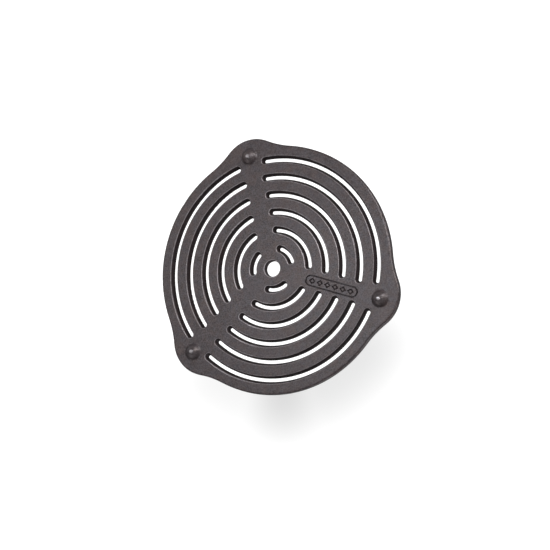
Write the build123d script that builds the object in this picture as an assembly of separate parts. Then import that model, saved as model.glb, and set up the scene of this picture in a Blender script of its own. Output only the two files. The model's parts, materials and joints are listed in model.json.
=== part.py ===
from build123d import *
from math import acos, asin, atan2, cos, degrees, radians, sin, sqrt, tan
import os

# Round cast grate with three lobes. Millimetres and degrees.
#
# Frame: the plain flat face lies on z = 0 and the studded face looks up, along +Z.
# The Z axis runs through the centre hole, and one lobe points along +Y.

# ------------------------------------------------------------------ driving dimensions

plate_thickness = 5.0
disc_radius = 105.3          # round body, measured at the flat face
rim_draft = 5.0              # the rim narrows towards the studded face
rim_edge_round = 1.5         # edge rounding of the rim on the studded face
top_edge_round = 1.0         # the same for the slots and the centre hole
bottom_edge_round = 0.65     # all edge rounding on the flat face

# Three lobes, each a circle blended into the disc by a large hollow curve
spoke_angles = (90.0, 210.0, 330.0)
spoke_spacing = 120.0
lobe_radius = 30.6
lobe_centre = 84.6           # from the grate's centre to the lobe circle's centre
lobe_blend_radius = 83.0

# Six rings of curved slots, three slots to a ring, with plain spokes between them
ring_count = 6
first_ring_radius = 17.65
ring_pitch = 15.07
slot_half_gap = 1.01         # at the flat face, before its edge is rounded
slot_draft = 22.8            # the slot opens towards the studded face
spoke_half_width = 10.4      # spoke axis to the centre of a slot's end round
inner_spoke_half_width = 10.25
outer_spoke_half_width = 13.1

# Centre hole: a straight land up from the flat face, then a flare to the studded face
hole_radius = 6.6
hole_land_top = 3.2
hole_mouth_radius = 7.2      # before the mouth's edge is rounded

# Foot studs: a domed head with a thin flared skirt, and a shank set in a blind socket
stud_centre = 99.7           # from the grate's centre
stud_height = 4.6
stud_dome_radius = 7.6       # the sphere that the head is cut from
stud_skirt_radius = 7.9
stud_skirt_thickness = 0.12
stud_skirt_hollow = 1.2      # radius of the hollow between dome and skirt
stud_shank_radius = 4.0
stud_shank_length = 2.8

# Engraved ornament on one spoke: a round-ended border around a row of open lozenges
ornament_spoke = 330.0
ornament_centre = 56.0       # along the spoke
ornament_offset = -0.9       # across the spoke
ornament_length = 48.0
ornament_width = 9.6
ornament_line = 1.25
ornament_depth = 1.1
lozenge_count = 6
lozenge_pitch = 7.0
lozenge_length = 6.2
lozenge_width = 5.4
lozenge_core = 0.42          # size of the land left standing in each lozenge


# ------------------------------------------------------------------ shared helpers

def polar(radius, angle):
    """A point at this radius and angle from the grate's centre."""
    return (radius * cos(radians(angle)), radius * sin(radians(angle)))


def angle_between(near_side_1, near_side_2, far_side):
    """The angle of a triangle where its two near sides meet."""
    cosine = (near_side_1**2 + near_side_2**2 - far_side**2) / (2 * near_side_1 * near_side_2)
    return degrees(acos(cosine))


# ------------------------------------------------------------------ grate plate

def plate_outline():
    """The lobed outline at the flat face: nothing but tangent arcs."""
    blend_reach = disc_radius + lobe_blend_radius
    blend_angle = angle_between(blend_reach, lobe_centre, lobe_radius + lobe_blend_radius)
    blend_x, blend_y = polar(blend_reach, blend_angle)
    lobe_half_angle = degrees(atan2(blend_y, blend_x - lobe_centre))
    blend_sweep = lobe_half_angle - blend_angle

    with BuildSketch() as outline:
        with BuildLine():
            for spoke in spoke_angles:
                lobe = polar(lobe_centre, spoke)
                CenterArc(lobe, lobe_radius, spoke - lobe_half_angle, 2 * lobe_half_angle)
                for side in (-1, 1):
                    blend = polar(blend_reach, spoke + side * blend_angle)
                    towards_lobe = spoke + side * lobe_half_angle + 180
                    CenterArc(blend, lobe_blend_radius, towards_lobe, -side * blend_sweep)
                rim_sweep = spoke_spacing - 2 * blend_angle
                CenterArc((0, 0), disc_radius, spoke + blend_angle, rim_sweep)
        make_face()
    return outline.sketch


def ring_radius(ring):
    return first_ring_radius + ring * ring_pitch


def ring_inset(ring):
    """How far a slot's end round stays from the spoke's axis."""
    insets = {0: inner_spoke_half_width, ring_count - 1: outer_spoke_half_width}
    return insets.get(ring, spoke_half_width)


def slot_cutter(ring, spoke):
    """A drafted curved slot that runs from this spoke to the next one."""
    overrun = 1.0
    half_gap = slot_half_gap - overrun * tan(radians(slot_draft))
    radius = ring_radius(ring)
    clear_angle = degrees(asin(ring_inset(ring) / radius))
    sweep = spoke_spacing - 2 * clear_angle
    centre_line = CenterArc((0, 0), radius, spoke + clear_angle, sweep)
    section = Plane.XY.offset(-overrun) * SlotArc(centre_line, 2 * half_gap)
    return extrude(section, plate_thickness + 2 * overrun, taper=-slot_draft)


def centre_hole():
    land = Cylinder(hole_radius, 2 * hole_land_top)
    flare_height = plate_thickness - hole_land_top
    flare = Cone(hole_radius, hole_mouth_radius, flare_height)
    return land + Pos(0, 0, hole_land_top + flare_height / 2) * flare


def ornament_cutter():
    """The engraved border and lozenges, as one shallow cutter."""
    border = SlotOverall(ornament_length, ornament_width)
    inside = SlotOverall(ornament_length - 2 * ornament_line, ornament_width - 2 * ornament_line)
    pattern = border - inside
    half_length, half_width = lozenge_length / 2, lozenge_width / 2
    solid_lozenge = make_face(Polyline(
        (half_length, 0), (0, half_width), (-half_length, 0), (0, -half_width), close=True
    ))
    lozenge = solid_lozenge - scale(solid_lozenge, lozenge_core)
    for number in range(lozenge_count):
        along = (number - (lozenge_count - 1) / 2) * lozenge_pitch
        pattern += Pos(along, 0) * lozenge
    place = Rot(0, 0, ornament_spoke) * Pos(ornament_centre, ornament_offset, plate_thickness)
    return place * extrude(pattern, ornament_depth, both=True)


def stud_place(spoke):
    """Where a stud's shoulder sits on the studded face."""
    x, y = polar(stud_centre, spoke)
    return Pos(x, y, plate_thickness)


def studded_face(plate):
    return plate.faces().sort_by(Axis.Z)[-1]


def grate_plate():
    plate = extrude(plate_outline(), plate_thickness, taper=rim_draft)
    for ring in range(ring_count):
        for spoke in spoke_angles:
            plate -= slot_cutter(ring, spoke)
    plate = fillet(plate.edges().group_by(Axis.Z)[0], bottom_edge_round)
    plate -= centre_hole()
    plate = fillet(studded_face(plate).outer_wire().edges(), rim_edge_round)
    openings = [wire.edges() for wire in studded_face(plate).inner_wires()]
    plate = fillet(openings, top_edge_round)
    for spoke in spoke_angles:
        socket = Cylinder(stud_shank_radius, 2 * stud_shank_length)
        plate -= stud_place(spoke) * socket
    plate -= ornament_cutter()
    return plate


# ------------------------------------------------------------------ foot stud

def foot_stud(spoke):
    """One turned stud: shank, flared skirt and domed head."""
    dome_centre_z = stud_height - stud_dome_radius
    dome_foot_r = sqrt(stud_dome_radius**2 - (stud_skirt_thickness - dome_centre_z) ** 2)
    dome_foot = (dome_foot_r, stud_skirt_thickness)

    with BuildPart() as stud:
        with BuildSketch(Plane.XZ):
            with BuildLine():
                RadiusArc((0, stud_height), dome_foot, stud_dome_radius)
                Polyline(
                    dome_foot,
                    (stud_skirt_radius, stud_skirt_thickness),
                    (stud_skirt_radius, 0),
                    (stud_shank_radius, 0),
                    (stud_shank_radius, -stud_shank_length),
                    (0, -stud_shank_length),
                    (0, stud_height),
                )
            section = make_face()
            foot_corner = (dome_foot_r, 0, stud_skirt_thickness)
            fillet(section.vertices().sort_by_distance(foot_corner)[0], stud_skirt_hollow)
        revolve(axis=Axis.Z)
    return stud_place(spoke) * stud.part


# ------------------------------------------------------------------ write every node

nodes = {"grate_plate": grate_plate()}
for number, spoke in enumerate(spoke_angles, start=1):
    nodes[f"foot_stud_{number}"] = foot_stud(spoke)

os.makedirs("parts", exist_ok=True)
for name, solid in nodes.items():
    export_step(solid, f"parts/{name}.step")
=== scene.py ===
import json
import math

import bpy
from mathutils import Matrix, Vector


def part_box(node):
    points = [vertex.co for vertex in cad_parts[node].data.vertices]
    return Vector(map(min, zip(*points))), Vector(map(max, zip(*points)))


MM = 0.001

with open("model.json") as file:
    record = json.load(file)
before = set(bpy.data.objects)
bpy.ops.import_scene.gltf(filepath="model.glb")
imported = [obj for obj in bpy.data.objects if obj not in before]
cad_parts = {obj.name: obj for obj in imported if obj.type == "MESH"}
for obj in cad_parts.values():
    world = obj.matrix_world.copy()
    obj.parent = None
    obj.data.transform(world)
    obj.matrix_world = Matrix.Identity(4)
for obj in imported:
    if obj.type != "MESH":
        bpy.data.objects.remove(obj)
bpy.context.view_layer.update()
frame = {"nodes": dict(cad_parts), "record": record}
centre_hole = next(m for m in frame["record"]["mounts"] if m["name"] == "centre_hole")
grate_centre = Vector(centre_hole["pos_m"])
plate_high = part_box("grate_plate")[1]
STUDDED_FACE = plate_high.z
RIM_RADIUS = plate_high.x                       # of the round body
STUD_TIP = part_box("foot_stud_1")[1].z

# ------------------------------------------------------------------ camera

CAMERA_AZIMUTH = 58.4
CAMERA_ELEVATION = 64.45
CAMERA_ROLL = 72.5
CAMERA_DISTANCE = 1.065
CAMERA_LENS = 83.7                              # mm
CAMERA_SENSOR = 36.0                            # mm
CAMERA_AIM = Vector((1.4 * MM, -6.1 * MM, STUDDED_FACE))


def direction(azimuth, elevation):
    """Unit vector from the grate towards this place in the sky."""
    a, e = math.radians(azimuth), math.radians(elevation)
    return Vector((math.sin(a) * math.cos(e), -math.cos(a) * math.cos(e), math.sin(e)))


def make_camera():
    data = bpy.data.cameras.new("camera")
    data.lens = CAMERA_LENS
    data.sensor_width = CAMERA_SENSOR
    camera = bpy.data.objects.new("camera", data)
    bpy.context.scene.collection.objects.link(camera)
    back = direction(CAMERA_AZIMUTH, CAMERA_ELEVATION)
    turn = (-back).to_track_quat("-Z", "Y").to_matrix()
    roll = Matrix.Rotation(math.radians(-CAMERA_ROLL), 3, "Z")
    place = Matrix.Translation(CAMERA_AIM + back * CAMERA_DISTANCE)
    camera.matrix_world = place @ (turn @ roll).to_4x4()
    bpy.context.scene.camera = camera


# ------------------------------------------------------------------ material wiring

MIX_FACTOR, MIX_FIRST, MIX_SECOND, MIX_RESULT = 0, 6, 7, 2      # the Mix node's colour sockets


class Wiring:
    """Adds nodes to one material and joins them. A value is a number, a colour or a socket."""

    def __init__(self, material):
        material.use_nodes = True
        self.tree = material.node_tree
        self.shader = self.tree.nodes["Principled BSDF"]
        self.place = self.add("ShaderNodeTexCoord").outputs["Object"]

    def add(self, kind, inputs=None, **settings):
        node = self.tree.nodes.new(kind)
        for name, value in settings.items():
            setattr(node, name, value)
        for name, value in (inputs or {}).items():
            self.set(node.inputs[name], value)
        return node

    def set(self, socket, value):
        if isinstance(value, bpy.types.NodeSocket):
            self.tree.links.new(value, socket)
        else:
            socket.default_value = value

    def feed_shader(self, inputs):
        """Gives the material's own shader its inputs."""
        for name, value in inputs.items():
            self.set(self.shader.inputs[name], value)

    def calculate(self, operation, first, *others):
        """The operation on the first two values, then on that result and the next one."""
        result = first
        for other in others or (0.0,):
            node = self.add("ShaderNodeMath", {0: result, 1: other}, operation=operation)
            result = node.outputs[0]
        return result

    def plus(self, *values):
        return self.calculate("ADD", *values)

    def minus(self, first, second):
        return self.calculate("SUBTRACT", first, second)

    def times(self, *values):
        return self.calculate("MULTIPLY", *values)

    def span(self, value, low, high, to_low=0.0, to_high=1.0):
        """The value's stretch from low to high, carried smoothly to another range."""
        inputs = {"Value": value, "From Min": low, "From Max": high,
                  "To Min": to_low, "To Max": to_high}
        node = self.add("ShaderNodeMapRange", inputs, interpolation_type="SMOOTHSTEP")
        return node.outputs["Result"]

    def mix(self, factor, first, second):
        """From the first colour, at 0, to the second, at 1."""
        inputs = {MIX_FACTOR: factor, MIX_FIRST: first, MIX_SECOND: second}
        return self.add("ShaderNodeMix", inputs, data_type="RGBA").outputs[MIX_RESULT]

    def noise(self, size, detail, roughness=0.5):
        """Noise from 0 to 1 whose lumps are about this many metres across."""
        inputs = {"Vector": self.place, "Scale": 1 / size, "Detail": detail, "Roughness": roughness}
        return self.add("ShaderNodeTexNoise", inputs).outputs["Fac"]

    def occlusion(self, distance):
        """1 in the open, towards 0 where surfaces within this distance close it in."""
        node = self.add("ShaderNodeAmbientOcclusion", {"Distance": distance}, samples=8)
        return node.outputs["AO"]

    def vector(self, operation, *inputs):
        """The node of a vector operation on these inputs."""
        return self.add("ShaderNodeVectorMath", dict(enumerate(inputs)), operation=operation)

    def upward(self, vector):
        return self.add("ShaderNodeSeparateXYZ", {"Vector": vector}).outputs["Z"]

    def from_axis(self):
        """Distance from the axis of the centre hole."""
        flat = self.vector("MULTIPLY", self.place, (1.0, 1.0, 0.0))
        return self.vector("LENGTH", flat.outputs[0]).outputs["Value"]

    def flatness(self):
        """1 where the surface is level, 0 where it is upright."""
        normal = self.add("ShaderNodeNewGeometry").outputs["Normal"]
        return self.calculate("ABSOLUTE", self.upward(normal))


# ------------------------------------------------------------------ studio

WHITE = (1.0, 1.0, 1.0)
COOL = (0.90, 0.98, 1.03)
FAR = 1.7                                       # metres from the grate
NEAR = 0.48                                     # close, so that it lights one side of the face more

SOFT_LIGHTS = (
    # name, azimuth, elevation, distance, (width, height), power, colour
    ("right_wall", 122.0, 39.0, FAR, (1.0, 1.5), 38.0, WHITE),
    ("right_low", 105.0, 5.0, FAR, (1.0, 0.5), 12.0, WHITE),
    ("overhead", 180.0, 86.0, FAR, (0.7, 0.7), 5.3, WHITE),
    ("key", 239.0, 76.0, NEAR, (0.05, 0.05), 0.36, COOL),
    ("left_sheen", 240.0, 50.0, FAR, (0.8, 0.6), 3.6, WHITE),
    ("left_fill", 315.0, 30.0, FAR, (1.2, 1.0), 7.5, WHITE),
    ("near_fill", 40.0, 45.0, FAR, (1.0, 0.8), 1.6, WHITE),
    ("floor_bounce", 20.0, -28.0, FAR, (1.8, 0.5), 15.0, WHITE),    # white paper lights the rim
    ("rear_fill", 225.0, 14.0, FAR, (1.4, 0.8), 3.0, WHITE),
)
AIR_GLOW = 0.2

PAPER_GLOW = 1.3                                # over 1, so that it burns out as in a bright studio
SHADE_REACH = 188.0 * MM                        # from the axis, where the painted shadow has died away
SHADE_TUCK = 3.0 * MM                           # how far it fades in under the rim
# Painted shadow crescents on the paper, one on each side
RIGHT_SHADE = {"towards": 292.0, "spread": 50.0, "depth": 0.49}
LEFT_SHADE = {"towards": 236.0, "spread": 41.0, "depth": 0.37}

FLOOR_DROP = 0.3 * MM                           # keeps the floor clear of the plain face
FLOOR_RADIUS = 3.0
WALL_RADIUS = 5.0
WALL_HEIGHT = 6.0
COVE_STEPS = 12
SWEEP_SIDES = 96


def make_light(name, azimuth, elevation, distance, size, power, colour):
    """A softbox that looks at the grate from this place in the sky."""
    data = bpy.data.lights.new(name, "AREA")
    data.shape = "RECTANGLE"
    data.size, data.size_y = size
    data.energy = power
    data.color = colour
    light = bpy.data.objects.new(name, data)
    bpy.context.scene.collection.objects.link(light)
    away = direction(azimuth, elevation)
    light.location = grate_centre + away * distance
    light.rotation_euler = (-away).to_track_quat("-Z", "Y").to_euler()
    light.visible_camera = False


def shade(w, radius, towards, spread, depth):
    """A painted soft crescent of shadow outside the rim on one side. Angles in degrees, towards
    counted from +X.
    """
    turn = math.radians(towards)
    along = w.vector("DOT_PRODUCT", w.place, (math.cos(turn), math.sin(turn), 0.0))
    facing = w.calculate("DIVIDE", along.outputs["Value"], radius)
    side = w.span(facing, math.cos(math.radians(spread)), 1.0)
    fade = w.span(radius, SHADE_REACH, RIM_RADIUS, 0.0, depth)
    return w.times(side, fade, w.span(radius, RIM_RADIUS - SHADE_TUCK, RIM_RADIUS))


def white_sweep():
    """Paper that shines white by itself, with a faint shadow of the grate painted into its glow."""
    material = bpy.data.materials.new("white_sweep")
    w = Wiring(material)
    radius = w.from_axis()
    shades = w.plus(shade(w, radius, **RIGHT_SHADE), shade(w, radius, **LEFT_SHADE))
    w.feed_shader({
        "Base Color": (0.0, 0.0, 0.0, 1.0),
        "Specular IOR Level": 0.0,
        "Emission Color": (*WHITE, 1.0),
        "Emission Strength": w.minus(PAPER_GLOW, shades),
    })
    return material


def make_floor():
    """A round floor that curves up into a wall. It neither lights nor shades the grate."""
    profile = [(0.0, 0.0), (FLOOR_RADIUS, 0.0)]
    cove = WALL_RADIUS - FLOOR_RADIUS
    for step in range(1, COVE_STEPS + 1):
        turn = math.radians(90.0 * step / COVE_STEPS)
        profile.append((FLOOR_RADIUS + cove * math.sin(turn), cove * (1 - math.cos(turn))))
    profile.append((WALL_RADIUS, WALL_HEIGHT))

    vertices, faces = [], []
    for radius, height in profile:
        for number in range(SWEEP_SIDES):
            turn = 2 * math.pi * number / SWEEP_SIDES
            vertices.append((radius * math.cos(turn), radius * math.sin(turn), height - FLOOR_DROP))
    for ring in range(len(profile) - 1):
        near, far = ring * SWEEP_SIDES, (ring + 1) * SWEEP_SIDES
        for number in range(SWEEP_SIDES):
            following = (number + 1) % SWEEP_SIDES
            faces.append((near + number, far + number, far + following, near + following))
    mesh = bpy.data.meshes.new("studio_sweep")
    mesh.from_pydata(vertices, [], faces)
    mesh.shade_smooth()
    mesh.materials.append(white_sweep())
    sweep = bpy.data.objects.new("studio_sweep", mesh)
    bpy.context.scene.collection.objects.link(sweep)
    sweep.visible_diffuse = False
    sweep.visible_glossy = False
    sweep.visible_shadow = False


def make_world():
    """Dim white air, which fills the darkest shade."""
    world = bpy.data.worlds.new("studio_air")
    bpy.context.scene.world = world
    world.use_nodes = True
    background = world.node_tree.nodes["Background"]
    background.inputs["Color"].default_value = (*WHITE, 1.0)
    background.inputs["Strength"].default_value = AIR_GLOW


# ------------------------------------------------------------------ cast iron

IRON_DARK = (0.0195, 0.0153, 0.0162, 1.0)
IRON_LIGHT = (0.0288, 0.0228, 0.0247, 1.0)
IRON_BROWN = (0.040, 0.023, 0.018, 1.0)
# Painted shade: the dark colour that recesses, pit bottoms and slot walls are mixed towards
IRON_RECESS_SHADE = (0.0065, 0.0038, 0.0038, 1.0)
# Worn bare iron, partly real wear and partly a painted highlight on slot edges and stud tips
IRON_BARE_HIGHLIGHT = (0.255, 0.236, 0.244, 1.0)
IRON_FILM = (0.08, 0.072, 0.074, 1.0)           # dry grey oil film
SHEEN_WARM = (1.0, 0.86, 0.83, 1.0)
SHEEN_COOL = (0.95, 0.91, 0.965, 1.0)

# Where in a noise a pattern begins and is full
NOISE_LOW, NOISE_HIGH = 0.35, 0.65
LIGHT_LOW, LIGHT_HIGH = 0.35, 0.66
STAIN_LOW, STAIN_HIGH = 0.48, 0.68
GRAIN_LOW, GRAIN_HIGH = 0.3, 0.6

# Painted shade in recesses, pit bottoms and slot walls, and stains, from 0 to 1
OPEN_LOW, OPEN_HIGH = 0.2, 0.8                  # occlusion, from a recess to the open face
PIT_UNSHADED = 0.4                                 # share of the open colour kept at the bottom of a pit, which is painted darker as shade
# how far the slot walls are painted darker as shade
WALL_SHADE_DEPTH = 0.55
STAIN_DEPTH = 0.3

PIT_CELL = 2.6 * MM
CELLS_WITHOUT_PIT = 0.72
PIT_RADIUS, PIT_SLOPE = 0.2, 0.12               # in cells

# Roughness
LUMP_SHARE, SAND_SHARE = 0.35, 0.65
SMOOTHEST, ROUGHEST = 0.05, 0.07                # either side of the material's own
RECESS_ROUGHER, BARE_SMOOTHER = 0.25, 0.12

# Specular level
SPECULAR_RECESS, SPECULAR_OPEN = 0.05, 0.5
FILM_DULLS = 2                                  # share lost, for each part of film
PORE_DULLS, GRAIN_GLINTS = 0.58, 1.42

# Relief, in parts of the grain height
SAND_RELIEF, LUMP_RELIEF, SWELL_RELIEF, PIT_RELIEF = 0.5, 0.35, 1.8, 0.5

# Flatness, 1 where the surface is level and 0 where it is upright
WALL_STARTS, WALL_FULL = 0.7, 0.45
EDGE_STARTS, EDGE_FULL, EDGE_FADES, EDGE_ENDS = 0.99, 0.95, 0.86, 0.68

# Distances from the axis
SLOTS_END = 98.0 * MM
SLOTS_FADE = 1.0 * MM
# where the wear and its painted highlight are strongest and weakest
HIGHLIT_WEAR_PEAK_AT, HIGHLIT_WEAR_LOW_AT = 40.0 * MM, 85.0 * MM

# Wear, lightened as a painted highlight on slot edges and stud tips
HIGHLIT_WEAR_PEAK, HIGHLIT_WEAR_LOW = 0.95, 0.5
EDGE_HOLLOWS, TIP_HOLLOWS = 0.4, 0.5            # share that reaches in between the grains
TIP_STARTS, TIP_FULL = 0.25 * MM, 0.03 * MM     # below the top of a stud


def among_slots(w, radius):
    """1 where the slots are, 0 on the plain rim outside them."""
    return w.span(radius, SLOTS_END + SLOTS_FADE, SLOTS_END)


def slot_walls(w):
    """The walls of the slots and the centre hole, which are painted darker as shade."""
    return w.times(w.span(w.flatness(), WALL_STARTS, WALL_FULL), among_slots(w, w.from_axis()))


# A stud has no slot walls painted darker as shade.
def no_wall_shade(w):
    return 0.0


def worn_highlit_edges(w, grain):
    """Where the face turns over into a slot, broken up by the grain: worn, and lightened as a
    painted highlight line.
    """
    flat = w.flatness()
    turning = w.times(w.span(flat, EDGE_STARTS, EDGE_FULL), w.span(flat, EDGE_ENDS, EDGE_FADES))
    radius = w.from_axis()
    rubbed_and_highlit = w.span(radius, HIGHLIT_WEAR_LOW_AT, HIGHLIT_WEAR_PEAK_AT, HIGHLIT_WEAR_LOW, HIGHLIT_WEAR_PEAK)
    rubbed_and_highlit = w.times(among_slots(w, radius), rubbed_and_highlit)
    return w.times(turning, rubbed_and_highlit, w.span(grain, GRAIN_LOW, GRAIN_HIGH, EDGE_HOLLOWS, 1.0))


def worn_highlit_tip(w, grain):
    """The top quarter of a millimetre of a stud, which rubs on what the grate carries; it is
    lightened as a painted highlight.
    """
    tip = w.span(w.upward(w.place), STUD_TIP - TIP_STARTS, STUD_TIP - TIP_FULL)
    return w.times(tip, w.span(grain, GRAIN_LOW, GRAIN_HIGH, TIP_HOLLOWS, 1.0))


def cast_iron(name, grain_height, roughness, recess_reach, polish, film, wall_shade, wear_and_highlight):
    """Seasoned sand-cast iron: grain, mottling and pits; worn places, lightened as a painted
    highlight; and recesses, pit bottoms and slot walls painted dark and dull as shade.
    """
    material = bpy.data.materials.new(name)
    w = Wiring(material)

    sand = w.noise(1.2 * MM, detail=4.0, roughness=0.65)
    lumps = w.noise(4.0 * MM, detail=3.0)
    swells = w.noise(24.0 * MM, detail=2.0)
    stains = w.noise(16.0 * MM, detail=4.0, roughness=0.6)
    sheen_patches = w.noise(5.0 * MM, detail=4.0, roughness=0.6)

    cells = w.add("ShaderNodeTexVoronoi", {"Vector": w.place, "Scale": 1 / PIT_CELL})
    chosen = w.add("ShaderNodeSeparateColor", {"Color": cells.outputs["Color"]}).outputs["Red"]
    pit_reach = w.span(chosen, CELLS_WITHOUT_PIT, 1.0, 0.0, PIT_RADIUS)
    pits = w.span(w.minus(pit_reach, cells.outputs["Distance"]), 0.0, PIT_SLOPE)

    # Worn places, lightened and made metallic as a painted highlight
    bare_and_highlit = wear_and_highlight(w, sand)
    # Painted shade: occlusion, pit bottoms and slot walls darken and dull the iron
    open_sky = w.span(w.occlusion(recess_reach), OPEN_LOW, OPEN_HIGH)
    free_of_wall_shade = w.minus(1.0, w.times(wall_shade(w), WALL_SHADE_DEPTH))
    unshaded = w.times(open_sky, w.span(pits, 0.0, 1.0, 1.0, PIT_UNSHADED), free_of_wall_shade)

    mottled = w.mix(w.span(lumps, LIGHT_LOW, LIGHT_HIGH), IRON_DARK, IRON_LIGHT)
    stained = w.mix(w.span(stains, STAIN_LOW, STAIN_HIGH, 0.0, STAIN_DEPTH), mottled, IRON_BROWN)
    # the painted shade goes into the colour here
    with_painted_shade = w.mix(unshaded, IRON_RECESS_SHADE, stained)
    filmed = w.mix(film, with_painted_shade, IRON_FILM)

    texture = w.plus(w.times(lumps, LUMP_SHARE), w.times(sand, SAND_SHARE))
    dull = w.span(texture, NOISE_LOW, NOISE_HIGH, roughness - SMOOTHEST, roughness + ROUGHEST)
    dull = w.plus(dull, w.span(unshaded, 0.0, 1.0, RECESS_ROUGHER, 0.0))
    dull = w.minus(dull, w.times(bare_and_highlit, BARE_SMOOTHER))

    specular = w.span(unshaded, 0.0, 1.0, SPECULAR_RECESS, SPECULAR_OPEN * (1 - FILM_DULLS * film))
    porous = w.span(sand, NOISE_LOW, NOISE_HIGH, PORE_DULLS, GRAIN_GLINTS)
    warmth = w.span(sheen_patches, NOISE_LOW, NOISE_HIGH)

    relief = w.plus(w.times(sand, SAND_RELIEF), w.times(lumps, LUMP_RELIEF),
                    w.times(swells, SWELL_RELIEF))
    relief = w.minus(relief, w.times(pits, PIT_RELIEF))
    bump = w.add("ShaderNodeBump", {"Strength": 1.0, "Distance": grain_height, "Height": relief})

    w.feed_shader({
        "Base Color": w.mix(bare_and_highlit, filmed, IRON_BARE_HIGHLIGHT),
        "Metallic": w.times(bare_and_highlit, polish),
        "Roughness": dull,
        "Specular IOR Level": w.times(specular, porous),
        "Specular Tint": w.mix(warmth, SHEEN_COOL, SHEEN_WARM),
        "Normal": bump.outputs["Normal"],
    })
    return material


def dress_cad():
    """The plate keeps a sandy skin, with painted shade on its slot walls and a painted highlight on
    its worn slot edges. The studs are smoother, with a thin film and a worn tip lightened as a
    painted highlight.
    """
    plate_iron = cast_iron("cast_iron_plate", grain_height=0.30 * MM, roughness=0.39,
                           recess_reach=5.0 * MM, polish=0.3, film=0.0,
                           wall_shade=slot_walls, wear_and_highlight=worn_highlit_edges)
    stud_iron = cast_iron("cast_iron_stud", grain_height=0.03 * MM, roughness=0.36,
                          recess_reach=0.7 * MM, polish=0.55, film=0.08,
                          wall_shade=no_wall_shade, wear_and_highlight=worn_highlit_tip)
    for name, node in frame["nodes"].items():
        for material_slot in node.material_slots:
            material_slot.material = plate_iron if name == "grate_plate" else stud_iron


make_camera()
for soft_light in SOFT_LIGHTS:
    make_light(*soft_light)
make_floor()
make_world()
dress_cad()
bpy.context.scene.view_settings.view_transform = "Standard"
